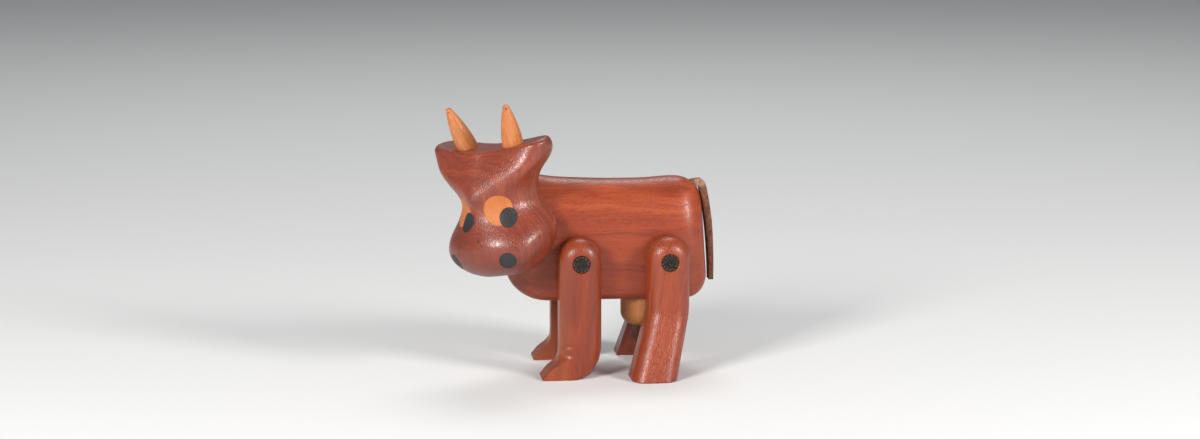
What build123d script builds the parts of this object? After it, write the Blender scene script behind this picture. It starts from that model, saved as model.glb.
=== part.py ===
from build123d import *
from math import cos, pi, radians, sin, sqrt, tan
import os

os.makedirs("parts", exist_ok=True)

# A wooden cow with jointed legs and a turning head, standing on its four soles.
# It faces -X, its left side is -Y and the ground is z = 0. All sizes are in millimetres.

# Stance: the leg pivots, the middle plane, and the running and gluing gaps
pivot_span = 30.0
pivot_height = 39.5
shoulder_x = 0.1
middle_y = 0.5
leg_gap = 0.2
running_gap = 0.08
seat_gap = 0.35
overrun = 30.0

# Body
body_width = 23.3
belly_height = 25.2
side_height = 48.0
withers_height = 67.6
saddle_sag = 1.2
rump_height = 66.2
neck_tilt = 9.0
chest_lead = 23.8
rump_lead = 15.4
rump_tilt = 3.8
rump_rounding = 8.6
chest_rounding = 9.0
crest_rounding = 10.0
hock_rounding = 8.5
tail_rounding = 7.5
belly_rounding = 3.0

# Legs and the elastic cords that they turn on
leg_width = 14.3
leg_thickness = 10.3
leg_crown = 8.3
leg_rounding = 5.1
cord_radius = 2.92
cord_recess = 0.9
bore_lip = 0.3
sole_edge = 0.4
foot_height = 12.0
toe_length = 6.4
heel_cut = 6.0
knee_height = 22.0
knee_blend = 3.0
shank_slant = 16.5
shank_rear_slant = 13.5
shank_flare = 20.0
shank_inner_flare = 12.0

# Udder and teats
udder_radius = 8.6
udder_depth = 10.4
udder_rounding = 4.4
udder_lead = 5.6
spigot_radius = 4.0
spigot_length = 6.0
teat_base_radius = 1.7
teat_tip_radius = 0.75
teat_length = 6.0
teat_root = 3.0
teat_spread = 3.3

# Tail: a leather strip that bends at the mouth of its hole
tail_width = 5.0
tail_thickness = 2.2
tail_drop = 34.4
tail_bend_drop = 2.2
tail_bend_gap = 0.1
tail_root_length = 9.0
tail_root_slope = 12.0
tail_stand_off = 2.1
tail_gap = 0.35

# Neck: an elastic cord looped round a pin, under the head's hollowed seat
neck_pin_radius = 1.5
neck_pin_foot = 27.0
neck_pin_top = 57.0
neck_cord_radius = 1.4
neck_loop_radius = 3.4
neck_cord_drop = 7.0
neck_cord_grip = 5.0
neck_slot_height = 3.4
neck_slot_angle = 60.0
head_turn = 49.0

# Head, in a frame of its own: x forward, y to the cow's left, z up from the chin
head_height = 43.6
head_half_depth = 13.0
head_half_width = 21.0
head_dip = 15.0
head_reach = 18.2
chin_height = 40.9
crown_hollow = 1.8
crown_skim = 0.6
crown_edge = 1.5

# Horns, eyes, pupils and nostrils
horn_radius = 3.6
horn_tip_radius = 0.8
horn_length = 14.8
horn_height = 41.6
horn_root = 5.0
horn_spread = 9.6
horn_back = 6.4
horn_lean = 9.0
horn_splay = 10.0
eye_radius = 5.0
pupil_radius = 3.0
nostril_radius = 3.0
eye_floor_x = 1.6
eye_floor_y = 4.5
eye_height = 23.1
eye_turn = 30.0
pupil_drop = 3.0
pupil_step = 1.3
pupil_slide_left = 3.0
pupil_slide_right = -4.2
nostril_floor_x = 7.2
nostril_floor_y = 8.2
nostril_height = 7.0
nostril_turn = 30.0

# Shares of the barrel's length, from the neck to the rump, where the back is shaped
barrel_shares = (0.17, 0.33, 0.50, 0.67, 0.83)

# Shares of the head's half depth, half width and height, section by section from the
# chin up: height, front, ridge (x, y), cheek (x, y), side (x, y), corner (x, y), back
head_shares = (
    (0.000, 0.50, (0.42, 0.24), (0.23, 0.43), (-0.08, 0.51), (-0.50, 0.40), -0.65),
    (0.030, 0.80, (0.69, 0.30), (0.42, 0.53), (0.00, 0.63), (-0.65, 0.51), -0.85),
    (0.095, 1.02, (0.89, 0.39), (0.57, 0.65), (0.04, 0.75), (-0.79, 0.62), -0.99),
    (0.190, 1.13, (1.01, 0.43), (0.66, 0.74), (0.05, 0.85), (-0.88, 0.71), -1.06),
    (0.287, 1.09, (0.98, 0.42), (0.59, 0.73), (-0.05, 0.88), (-0.92, 0.75), -1.08),
    (0.394, 0.89, (0.78, 0.33), (0.49, 0.57), (-0.14, 0.77), (-0.84, 0.71), -1.03),
    (0.500, 0.71, (0.59, 0.25), (0.33, 0.47), (-0.28, 0.66), (-0.79, 0.66), -0.99),
    (0.560, 0.66, (0.54, 0.25), (0.26, 0.46), (-0.31, 0.65), (-0.77, 0.655), -0.97),
    (0.625, 0.72, (0.58, 0.23), (0.23, 0.51), (-0.33, 0.68), (-0.77, 0.66), -0.97),
    (0.713, 0.59, (0.46, 0.38), (0.15, 0.68), (-0.39, 0.78), (-0.81, 0.74), -0.97),
    (0.820, 0.34, (0.25, 0.50), (0.01, 0.88), (-0.51, 0.99), (-0.92, 0.94), -1.00),
    (0.915, 0.07, (0.00, 0.62), (-0.19, 0.99), (-0.56, 1.09), (-0.87, 1.05), -0.92),
    (0.970, -0.08, (-0.13, 0.70), (-0.28, 1.02), (-0.57, 1.09), (-0.82, 1.04), -0.87),
    (1.000, -0.20, (-0.25, 0.72), (-0.43, 0.96), (-0.57, 1.02), (-0.76, 0.98), -0.79),
)

# Shares of the front foot, from the sole up: height (of foot_height), front edge ahead
# of the shin (of toe_length), heel (of heel_cut), and the outer corner's rounding along
# the foot and across it (of leg_rounding)
foot_shares = (
    (0.000, 0.90, 1.00, 0.10, 0.25),
    (0.040, 0.98, 0.86, 0.10, 0.28),
    (0.140, 0.84, 0.55, 0.08, 0.35),
    (0.290, 0.60, 0.36, 0.12, 0.42),
    (0.420, 0.30, 0.24, 0.20, 0.55),
    (0.520, 0.14, 0.14, 0.38, 0.75),
    (0.600, 0.07, 0.10, 0.75, 0.95),
    (0.680, 0.03, 0.06, 1.12, 1.05),
    (0.780, 0.01, 0.02, 1.05, 1.02),
    (0.900, 0.00, 0.00, 1.00, 1.00),
    (1.000, 0.00, 0.00, 1.00, 1.00),
)

# Shares of the knee's bend (of knee_blend), from below the knee to above it
knee_shares = (-1.00, -0.50, 0.00, 0.50, 1.00)

# Shares of the tail from its bend down: drop (of tail_drop), distance out from the rump's
# slope (of tail_stand_off), thickness (of tail_thickness)
tail_shares = (
    (0.073, 0.56, 1.00),
    (0.203, 0.86, 1.00),
    (0.392, 1.02, 0.97),
    (0.593, 0.98, 0.93),
    (0.785, 0.90, 0.85),
    (0.930, 0.86, 0.75),
    (1.000, 0.80, 0.65),
)

# Share of the horn's radius that is left halfway up
horn_waist = 0.78

# Worked out from the sizes above
half_width = body_width / 2
hip_x = shoulder_x + pivot_span
leg_top = pivot_height + leg_crown
leg_face = half_width + leg_gap
side_view = Plane(origin=(0, middle_y, 0), x_dir=(1, 0, 0), z_dir=(0, -1, 0))
left_leg_view = side_view.offset(leg_face)
neck_up = Vector(-sin(radians(neck_tilt)), 0, cos(radians(neck_tilt)))
neck_foot_x = shoulder_x - chest_lead + half_width / cos(radians(neck_tilt))
neck_foot_x = neck_foot_x + (belly_height + chest_rounding) * tan(radians(neck_tilt))
neck_foot = Vector(neck_foot_x, middle_y, 0)
neck_axis = Axis(neck_foot, neck_up)


def mirrored(piece):
    """The right-hand twin of a left-hand piece."""
    with BuildPart() as twin:
        mirror(piece, about=Plane(origin=side_view.origin, z_dir=side_view.z_dir))
    return twin.part


# Body: upright sections from the chest to the rump, leaning as the two ends lean
def body_section(foot_x, tilt, wide, bottom, top):
    """One section; foot_x is where its plane meets the ground, tilt its forward lean."""
    slope = cos(radians(tilt))
    across = Plane(
        origin=(foot_x, middle_y, 0),
        x_dir=(0, 1, 0),
        z_dir=(cos(radians(tilt)), 0, sin(radians(tilt))),
    )
    low, shoulder, crest = bottom / slope, side_height / slope, top / slope
    corner = belly_rounding * wide / half_width
    bevel = corner * (1 - cos(pi / 4))
    with BuildSketch(across) as outline:
        with BuildLine():
            Line((corner - wide, low), (wide - corner, low))
            ThreePointArc((wide - corner, low), (wide - bevel, low + bevel), (wide, low + corner))
            Line((wide, low + corner), (wide, shoulder))
            EllipticalCenterArc((0, shoulder), wide, crest - shoulder, arc_size=180)
            Line((-wide, shoulder), (-wide, low + corner))
            ThreePointArc((-wide, low + corner), (bevel - wide, low + bevel), (corner - wide, low))
        make_face()
    return outline.sketch


front_angles = (87, 78, 66, 52, 36, 18, 0)
rear_angles = (0, 18, 36, 52, 66, 80, 90)
rump_foot_x = hip_x + rump_lead + belly_height * tan(radians(rump_tilt))
sections = []
for angle in front_angles:
    ahead, aside = sin(radians(angle)), cos(radians(angle))
    sections.append(
        body_section(
            neck_foot_x - half_width * ahead / cos(radians(neck_tilt)),
            neck_tilt,
            half_width * aside,
            belly_height + chest_rounding * (1 - aside),
            withers_height - crest_rounding * (1 - aside),
        )
    )
for share in barrel_shares:
    back = withers_height + share * (rump_height - withers_height)
    sections.append(
        body_section(
            neck_foot_x + share * (rump_foot_x - rump_rounding - neck_foot_x),
            neck_tilt + share * (rump_tilt - neck_tilt),
            half_width,
            belly_height,
            back - 4 * saddle_sag * share * (1 - share),
        )
    )
for angle in rear_angles:
    ahead, aside = sin(radians(angle)), cos(radians(angle))
    sections.append(
        body_section(
            rump_foot_x - rump_rounding * (1 - ahead),
            rump_tilt,
            half_width - rump_rounding * (1 - aside),
            belly_height + hock_rounding * (1 - aside),
            rump_height - tail_rounding * (1 - aside),
        )
    )

# Head frame: turned about the neck from facing straight ahead
forward = Vector(-cos(radians(head_dip)), 0, -sin(radians(head_dip)))
upward = Vector(-sin(radians(head_dip)), 0, cos(radians(head_dip)))
turn = Axis((0, 0, 0), neck_up)
chin_point = neck_foot + neck_up * (chin_height / cos(radians(neck_tilt))) + forward * head_reach
chin_point = neck_foot + (chin_point - neck_foot).rotate(turn, head_turn)
head_frame = Plane(
    origin=chin_point,
    x_dir=forward.rotate(turn, head_turn),
    z_dir=upward.rotate(turn, head_turn),
)


def head_section(row):
    """One level section of the head, from its row of shares."""
    height, front, ridge, cheek, side, corner, back = row
    left = [ridge, cheek, side, corner]
    right = [(x, -y) for x, y in reversed(left)]
    points = [(front, 0), *left, (back, 0), *right]
    with BuildSketch(head_frame.offset(height * head_height)) as outline:
        with BuildLine():
            Spline([(x * head_half_depth, y * head_half_width) for x, y in points], periodic=True)
        make_face()
    return outline.sketch


def in_head(x, y, z, turn_out=0, side=1):
    """A plane at a point of the head frame, facing out at an angle to one side."""
    out = radians(turn_out)
    facing = Plane(origin=(x, y, z), x_dir=(0, 0, 1), z_dir=(cos(out), side * sin(out), 0))
    return Plane(head_frame.location * facing.location)


# The head before anything is let into it
crown_radius = (head_half_width**2 + crown_hollow**2) / (2 * crown_hollow)
with BuildPart() as head_blank:
    loft(sections=[head_section(row) for row in head_shares])
    with BuildSketch(Plane(head_frame.location * Plane.YZ.offset(-overrun).location)):
        with Locations((0, head_height - crown_skim - crown_hollow + crown_radius)):
            Circle(crown_radius)
    extrude(amount=2 * overrun, mode=Mode.SUBTRACT)
    fillet(head_blank.faces().filter_by(GeomType.CYLINDER).edges(), crown_edge)


def plug_floors(floor, height, turn_out, slides=(0, 0), drop=0):
    """Floors of a left and a right plug's hole; slides shift them outward along the face."""
    planes = []
    for side, slide in zip((1, -1), slides):
        along = slide * cos(radians(turn_out))
        back = slide * sin(radians(turn_out))
        x, y = floor[0] - back, side * (floor[1] + along)
        planes.append(in_head(x, y, height - drop, turn_out, side))
    return planes


eye_floor = (eye_floor_x, eye_floor_y)
pupil_slides = (pupil_slide_left, pupil_slide_right)
nostril_floor = (nostril_floor_x, nostril_floor_y)
eye_planes = plug_floors(eye_floor, eye_height, eye_turn)
pupil_planes = plug_floors(eye_floor, eye_height, eye_turn, pupil_slides, pupil_drop)
pupil_planes = [floor.offset(pupil_step) for floor in pupil_planes]
nostril_planes = plug_floors(nostril_floor, nostril_height, nostril_turn)


def plug(floor, radius, hole_planes=(), hole_radius=0):
    """A round plug flush with the head's surface, less any smaller plug let into it."""
    with BuildPart() as inlay:
        with BuildSketch(floor):
            Circle(radius)
        extrude(amount=overrun)
        add(head_blank.part, mode=Mode.INTERSECT)
        for hole in hole_planes:
            with BuildSketch(hole):
                Circle(hole_radius)
            extrude(amount=overrun, mode=Mode.SUBTRACT)
    return inlay.part


with BuildPart() as eye_left:
    add(plug(eye_planes[0], eye_radius, pupil_planes[:1], pupil_radius))
eye_left.part.label = "eye_left"
export_step(eye_left.part, "parts/eye_left.step")

with BuildPart() as eye_right:
    add(plug(eye_planes[1], eye_radius, pupil_planes[1:], pupil_radius))
eye_right.part.label = "eye_right"
export_step(eye_right.part, "parts/eye_right.step")

with BuildPart() as pupil_left:
    add(plug(pupil_planes[0], pupil_radius))
pupil_left.part.label = "pupil_left"
export_step(pupil_left.part, "parts/pupil_left.step")

with BuildPart() as pupil_right:
    add(plug(pupil_planes[1], pupil_radius))
pupil_right.part.label = "pupil_right"
export_step(pupil_right.part, "parts/pupil_right.step")

with BuildPart() as nostril_left:
    add(plug(nostril_planes[0], nostril_radius))
nostril_left.part.label = "nostril_left"
export_step(nostril_left.part, "parts/nostril_left.step")

with BuildPart() as nostril_right:
    add(plug(nostril_planes[1], nostril_radius))
nostril_right.part.label = "nostril_right"
export_step(nostril_right.part, "parts/nostril_right.step")


# Horns: pegs with an ogive end, glued into holes in the crown
def horn_plane(side):
    """The plane across a horn where it leaves the crown."""
    lean, splay = radians(horn_lean), radians(horn_splay)
    up = Vector(sin(lean), side * sin(splay), cos(lean) * cos(splay))
    local = Plane(
        origin=(-horn_back, side * horn_spread, horn_height),
        x_dir=(cos(lean), 0, -sin(lean)),
        z_dir=up,
    )
    return Plane(head_frame.location * local.location)


def horn(base):
    """One horn, revolved about its own axis."""
    half = Plane(origin=base.origin, x_dir=base.x_dir, z_dir=base.x_dir.cross(base.z_dir))
    with BuildPart() as peg:
        with BuildSketch(half):
            with BuildLine():
                Polyline((horn_radius, 0), (horn_radius, -horn_root), (0, -horn_root), (0, horn_length))
                Line((0, horn_length), (horn_tip_radius, horn_length))
                Spline(
                    (horn_tip_radius, horn_length),
                    (horn_waist * horn_radius, horn_length / 2),
                    (horn_radius, 0),
                )
            make_face()
        revolve(axis=Axis(base.origin, base.z_dir))
    return peg.part


horn_planes = [horn_plane(1), horn_plane(-1)]

with BuildPart() as horn_left:
    add(horn(horn_planes[0]))
horn_left.part.label = "horn_left"
export_step(horn_left.part, "parts/horn_left.step")

with BuildPart() as horn_right:
    add(horn(horn_planes[1]))
horn_right.part.label = "horn_right"
export_step(horn_right.part, "parts/horn_right.step")

# The neck cord runs from the pin's loop into the head, square to the neck
neck_point = neck_foot + neck_up * (neck_pin_top - neck_cord_drop)
straight_ahead = Vector(-cos(radians(neck_tilt)), 0, -sin(radians(neck_tilt)))
toward_head = straight_ahead.rotate(turn, head_turn)
neck_across = Plane(origin=neck_point, x_dir=toward_head, z_dir=neck_up)
cord_line = Plane(origin=neck_point, x_dir=neck_up, z_dir=toward_head)

with BuildPart() as neck_cord:
    with BuildSketch(neck_across):
        Circle(neck_loop_radius)
    extrude(amount=neck_cord_radius, both=True)
    with BuildSketch(cord_line):
        Circle(neck_cord_radius)
    extrude(amount=half_width + neck_cord_grip)
    with BuildSketch(neck_across):
        Circle(neck_pin_radius + running_gap)
    extrude(amount=neck_cord_radius * 2, both=True, mode=Mode.SUBTRACT)
neck_cord.part.label = "neck_cord"
export_step(neck_cord.part, "parts/neck_cord.step")

with BuildPart() as head:
    add(head_blank.part)
    # The seat that is hollowed round the neck, clear of the flank at either end of the turn
    with BuildSketch(Plane(origin=neck_foot, x_dir=straight_ahead, z_dir=neck_up)):
        Circle(half_width + seat_gap)
        for turned in (0, 2 * head_turn):
            with Locations(Location((0, 0, 0), (0, 0, turned))):
                Rectangle(overrun, 2 * (half_width + seat_gap), align=(Align.MAX, Align.CENTER))
    extrude(amount=withers_height + overrun, mode=Mode.SUBTRACT)
    # Holes for the plugs, the horns and the neck cord
    for floor in eye_planes:
        with BuildSketch(floor):
            Circle(eye_radius)
        extrude(amount=overrun, mode=Mode.SUBTRACT)
    for floor in pupil_planes:
        with BuildSketch(floor):
            Circle(pupil_radius)
        extrude(amount=overrun, mode=Mode.SUBTRACT)
    for floor in nostril_planes:
        with BuildSketch(floor):
            Circle(nostril_radius)
        extrude(amount=overrun, mode=Mode.SUBTRACT)
    for base in horn_planes:
        with BuildSketch(base.offset(-horn_root)):
            Circle(horn_radius)
        extrude(amount=horn_root, mode=Mode.SUBTRACT)
        with BuildSketch(base):
            Circle(horn_radius)
        extrude(amount=overrun, mode=Mode.SUBTRACT)
    with BuildSketch(cord_line):
        Circle(neck_cord_radius)
    extrude(amount=half_width + neck_cord_grip, mode=Mode.SUBTRACT)
head.part.label = "head"
export_step(head.part, "parts/head.step")

with BuildPart() as neck_pin:
    with BuildSketch(Plane(origin=neck_foot, z_dir=neck_up).offset(neck_pin_foot)):
        Circle(neck_pin_radius)
    extrude(amount=neck_pin_top - neck_pin_foot)
neck_pin.part.label = "neck_pin"
export_step(neck_pin.part, "parts/neck_pin.step")


# Front legs: an upright block with a round top, on a foot with a toe and a cut heel
def leg_section(height, front, rear, near, far, nose, corner):
    """A level section; nose is the outer front rounding along and across, corner the rear one."""
    bevel = 1 - cos(pi / 4)
    long, deep = nose
    with BuildSketch(Plane.XY.offset(height)) as outline:
        with BuildLine():
            Line((front, near), (rear, near))
            Line((rear, near), (rear, far + corner))
            ThreePointArc(
                (rear, far + corner),
                (rear - corner * bevel, far + corner * bevel),
                (rear - corner, far),
            )
            Line((rear - corner, far), (front + long, far))
            ThreePointArc(
                (front + long, far),
                (front + long * bevel, far + deep * bevel),
                (front, far + deep),
            )
            Line((front, far + deep), (front, near))
        make_face()
    return outline.sketch


inner_y = middle_y - leg_face
outer_y = inner_y - leg_thickness
leg_half = leg_width / 2

foot_sections = []
for height, lead, heel, long, deep in foot_shares:
    foot_sections.append(
        leg_section(
            height * foot_height,
            shoulder_x - leg_half - lead * toe_length,
            shoulder_x + leg_half - heel * heel_cut,
            inner_y,
            outer_y,
            (long * leg_rounding, deep * leg_rounding),
            leg_rounding,
        )
    )

with BuildPart() as front_leg_left:
    with BuildSketch(left_leg_view):
        with Locations((shoulder_x, leg_top - leg_half)):
            Circle(leg_half)
        with Locations((shoulder_x, foot_height)):
            Rectangle(leg_width, leg_top - leg_half - foot_height, align=(Align.CENTER, Align.MIN))
    extrude(amount=leg_thickness)
    rim = front_leg_left.faces().sort_by(Axis.Y)[0].edges()
    fillet(rim.sort_by(Axis.Z)[1:], leg_rounding)
    with BuildSketch(left_leg_view):
        with Locations((shoulder_x, pivot_height)):
            Circle(cord_radius + running_gap)
    extrude(amount=leg_thickness, mode=Mode.SUBTRACT)
    mouth = front_leg_left.edges().filter_by(GeomType.CIRCLE).filter_by(
        lambda edge: abs(edge.radius - cord_radius - running_gap) < running_gap / 2
    )
    chamfer(mouth.sort_by(Axis.Y)[0], bore_lip)
    loft(sections=foot_sections)
front_leg_left.part.label = "front_leg_left"
export_step(front_leg_left.part, "parts/front_leg_left.step")

with BuildPart() as front_leg_right:
    add(mirrored(front_leg_left.part))
front_leg_right.part.label = "front_leg_right"
export_step(front_leg_right.part, "parts/front_leg_right.step")

# Rear legs: the same block on a shank that slants forward and outward below the knee
shank_heights = [0]
shank_heights += [knee_height + share * knee_blend for share in knee_shares]
shank_sections = []
for height in shank_heights:
    depth = knee_height - height
    bent = depth if depth >= knee_blend else (depth + knee_blend) ** 2 / (4 * knee_blend)
    shank_sections.append(
        leg_section(
            height,
            hip_x - leg_half - bent * tan(radians(shank_slant)),
            hip_x + leg_half - bent * tan(radians(shank_rear_slant)),
            inner_y - bent * tan(radians(shank_inner_flare)),
            outer_y - bent * tan(radians(shank_flare)),
            (leg_rounding, leg_rounding),
            leg_rounding,
        )
    )

shank_top = knee_height + knee_blend
with BuildPart() as rear_leg_left:
    with BuildSketch(left_leg_view):
        with Locations((hip_x, leg_top - leg_half)):
            Circle(leg_half)
        with Locations((hip_x, shank_top)):
            Rectangle(leg_width, leg_top - leg_half - shank_top, align=(Align.CENTER, Align.MIN))
    extrude(amount=leg_thickness)
    rim = rear_leg_left.faces().sort_by(Axis.Y)[0].edges()
    fillet(rim.sort_by(Axis.Z)[1:], leg_rounding)
    with BuildSketch(left_leg_view):
        with Locations((hip_x, pivot_height)):
            Circle(cord_radius + running_gap)
    extrude(amount=leg_thickness, mode=Mode.SUBTRACT)
    mouth = rear_leg_left.edges().filter_by(GeomType.CIRCLE).filter_by(
        lambda edge: abs(edge.radius - cord_radius - running_gap) < running_gap / 2
    )
    chamfer(mouth.sort_by(Axis.Y)[0], bore_lip)
    loft(sections=shank_sections[:2], ruled=True)
    loft(sections=shank_sections[1:])
    fillet(rear_leg_left.edges().group_by(Axis.Z)[0], sole_edge)
rear_leg_left.part.label = "rear_leg_left"
export_step(rear_leg_left.part, "parts/rear_leg_left.step")

with BuildPart() as rear_leg_right:
    add(mirrored(rear_leg_left.part))
rear_leg_right.part.label = "rear_leg_right"
export_step(rear_leg_right.part, "parts/rear_leg_right.step")

# Elastic cords through the legs and the body
cord_reach = leg_face + leg_thickness - cord_recess

with BuildPart() as front_cord:
    with BuildSketch(side_view):
        with Locations((shoulder_x, pivot_height)):
            Circle(cord_radius)
    extrude(amount=cord_reach, both=True)
front_cord.part.label = "front_cord"
export_step(front_cord.part, "parts/front_cord.step")

with BuildPart() as rear_cord:
    with BuildSketch(side_view):
        with Locations((hip_x, pivot_height)):
            Circle(cord_radius)
    extrude(amount=cord_reach, both=True)
rear_cord.part.label = "rear_cord"
export_step(rear_cord.part, "parts/rear_cord.step")

# Udder: a round-edged cup on a spigot, with four teats glued into it
udder_x = hip_x - udder_lead
udder_floor = belly_height - udder_depth
teat_spots = [(x, y) for x in (-teat_spread, teat_spread) for y in (-teat_spread, teat_spread)]

with BuildPart() as udder:
    with BuildSketch(Plane.XY.offset(udder_floor)):
        with Locations((udder_x, middle_y)):
            Circle(udder_radius)
    extrude(amount=udder_depth)
    fillet(udder.edges().group_by(Axis.Z)[0], udder_rounding)
    with BuildSketch(Plane.XY.offset(belly_height)):
        with Locations((udder_x, middle_y)):
            Circle(spigot_radius)
    extrude(amount=spigot_length)
    with BuildSketch(Plane.XY.offset(udder_floor + teat_root)):
        with Locations((udder_x, middle_y)):
            with Locations(teat_spots):
                Circle(teat_base_radius)
    extrude(amount=-teat_root * 2, mode=Mode.SUBTRACT)
udder.part.label = "udder"
export_step(udder.part, "parts/udder.step")


def teat(along, aside):
    """One teat: a tapered peg hanging from the udder."""
    spot = Location((udder_x + along, middle_y + aside, udder_floor))
    with BuildPart() as peg:
        with BuildSketch(Plane(spot)):
            Circle(teat_base_radius)
        extrude(amount=teat_root)
        with BuildSketch(Plane(spot)):
            Circle(teat_base_radius)
        with BuildSketch(Plane(spot).offset(-teat_length)):
            Circle(teat_tip_radius)
        loft()
        fillet(peg.edges().group_by(Axis.Z)[0], teat_tip_radius / 2)
    return peg.part


with BuildPart() as teat_front_left:
    add(teat(-teat_spread, -teat_spread))
teat_front_left.part.label = "teat_front_left"
export_step(teat_front_left.part, "parts/teat_front_left.step")

with BuildPart() as teat_front_right:
    add(teat(-teat_spread, teat_spread))
teat_front_right.part.label = "teat_front_right"
export_step(teat_front_right.part, "parts/teat_front_right.step")

with BuildPart() as teat_rear_left:
    add(teat(teat_spread, -teat_spread))
teat_rear_left.part.label = "teat_rear_left"
export_step(teat_rear_left.part, "parts/teat_rear_left.step")

with BuildPart() as teat_rear_right:
    add(teat(teat_spread, teat_spread))
teat_rear_right.part.label = "teat_rear_right"
export_step(teat_rear_right.part, "parts/teat_rear_right.step")

# Tail: its root glued into the rump, and the strap that bends at the hole's mouth
bend_z = rump_height - tail_bend_drop
rump_slope = tan(radians(rump_tilt))
bend_x = rump_foot_x - bend_z * rump_slope + tail_bend_gap
half_strap = tail_thickness / 2
into_rump = Vector(-cos(radians(tail_root_slope)), -sin(radians(tail_root_slope)))
root_plane = Plane(
    origin=(bend_x, middle_y, bend_z),
    x_dir=(into_rump.X, 0, into_rump.Y),
    z_dir=(0, -1, 0),
)

with BuildPart() as tail_root:
    with BuildSketch(root_plane):
        Rectangle(tail_root_length, tail_thickness, align=(Align.MIN, Align.CENTER))
    extrude(amount=tail_width / 2, both=True)
    with BuildSketch(side_view):
        with Locations((bend_x, bend_z)):
            Circle(half_strap + running_gap)
            Rectangle(
                2 * (half_strap + tail_gap),
                overrun,
                align=(Align.CENTER, Align.MAX),
            )
    extrude(amount=tail_width, both=True, mode=Mode.SUBTRACT)
tail_root.part.label = "tail_root"
export_step(tail_root.part, "parts/tail_root.step")

inner_side = []
outer_side = []
for drop, out, thick in tail_shares:
    x = bend_x + drop * tail_drop * rump_slope + out * tail_stand_off
    z = bend_z - drop * tail_drop
    inner_side.append((x - thick * half_strap, z))
    outer_side.append((x + thick * half_strap, z))

with BuildPart() as tail:
    with BuildSketch(side_view):
        with BuildLine():
            Spline((bend_x - half_strap, bend_z), *inner_side)
            Line(inner_side[-1], outer_side[-1])
            Spline((bend_x + half_strap, bend_z), *outer_side)
            Line((bend_x - half_strap, bend_z), (bend_x + half_strap, bend_z))
        make_face()
        with Locations((bend_x, bend_z)):
            Circle(half_strap)
    extrude(amount=tail_width / 2, both=True)
tail.part.label = "tail"
export_step(tail.part, "parts/tail.step")

# Body: the lofted block, bored for the cords, the neck, the udder and the tail
with BuildPart() as body:
    loft(sections=sections)
    with BuildSketch(side_view):
        with Locations((shoulder_x, pivot_height), (hip_x, pivot_height)):
            Circle(cord_radius)
    extrude(amount=half_width + overrun, both=True, mode=Mode.SUBTRACT)
    with BuildSketch(Plane(origin=neck_foot, z_dir=neck_up)):
        Circle(neck_pin_radius)
    extrude(amount=neck_pin_top, mode=Mode.SUBTRACT)
    # The slot that the neck cord sweeps through as the head turns
    fan = Plane(origin=neck_point, x_dir=straight_ahead, z_dir=neck_up)
    reach = half_width + overrun
    slot_back = neck_cord_radius + seat_gap
    with BuildSketch(fan):
        Circle(neck_loop_radius + seat_gap)
        with BuildLine():
            Polyline(
                (-slot_back, 0),
                (reach * cos(radians(neck_slot_angle)), -reach * sin(radians(neck_slot_angle))),
                (reach, -reach * sin(radians(neck_slot_angle))),
                (reach, reach * sin(radians(neck_slot_angle))),
                (reach * cos(radians(neck_slot_angle)), reach * sin(radians(neck_slot_angle))),
                close=True,
            )
        make_face()
    extrude(amount=neck_slot_height / 2, both=True, mode=Mode.SUBTRACT)
    with BuildSketch(Plane.XY.offset(belly_height + spigot_length)):
        with Locations((udder_x, middle_y)):
            Circle(spigot_radius)
    extrude(amount=-overrun, mode=Mode.SUBTRACT)
    with BuildSketch(root_plane):
        with Locations((tail_root_length, 0)):
            Rectangle(overrun, tail_thickness, align=(Align.MAX, Align.CENTER))
    extrude(amount=tail_width / 2, both=True, mode=Mode.SUBTRACT)
body.part.label = "body"
export_step(body.part, "parts/body.step")
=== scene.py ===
import math
import random

import bpy
from mathutils import Matrix, Vector


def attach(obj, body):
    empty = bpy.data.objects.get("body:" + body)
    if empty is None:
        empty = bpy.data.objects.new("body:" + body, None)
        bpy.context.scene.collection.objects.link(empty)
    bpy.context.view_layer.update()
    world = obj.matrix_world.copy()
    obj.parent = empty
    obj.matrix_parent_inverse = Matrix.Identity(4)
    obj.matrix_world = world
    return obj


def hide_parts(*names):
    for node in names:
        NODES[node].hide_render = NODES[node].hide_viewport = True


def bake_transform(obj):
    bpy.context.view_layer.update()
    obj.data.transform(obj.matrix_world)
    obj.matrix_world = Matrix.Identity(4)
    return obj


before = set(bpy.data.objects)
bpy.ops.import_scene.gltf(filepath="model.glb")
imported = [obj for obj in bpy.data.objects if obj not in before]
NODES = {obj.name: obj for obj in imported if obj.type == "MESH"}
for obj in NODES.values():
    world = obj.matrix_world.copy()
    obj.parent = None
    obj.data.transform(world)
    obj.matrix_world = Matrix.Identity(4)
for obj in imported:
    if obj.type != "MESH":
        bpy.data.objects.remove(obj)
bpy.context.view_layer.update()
MM = 0.001
QUARTER = math.pi / 2
SIDES = ("left", "right")
OUTWARD = (-1, 1)

# The leg cords in the CAD model (m): where they lie along the cow, how high, and the plane
# midway between the legs
FRONT_CORD_X = 0.0001
CORD_SPAN = 0.030
REAR_CORD_X = FRONT_CORD_X + CORD_SPAN
CORD_Z = 0.0395
MIDDLE_Y = 0.0005

# The head's own frame in the CAD model: its chin point, and the directions ahead, to its left and up
CHIN = Vector((-0.024397, -0.013160, 0.037163))
AHEAD = Vector((-0.62808, -0.75058, -0.20531))
ASIDE = Vector((0.74542, -0.65606, 0.11806))
UPWARD = Vector((-0.22331, -0.07889, 0.97155))

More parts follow.
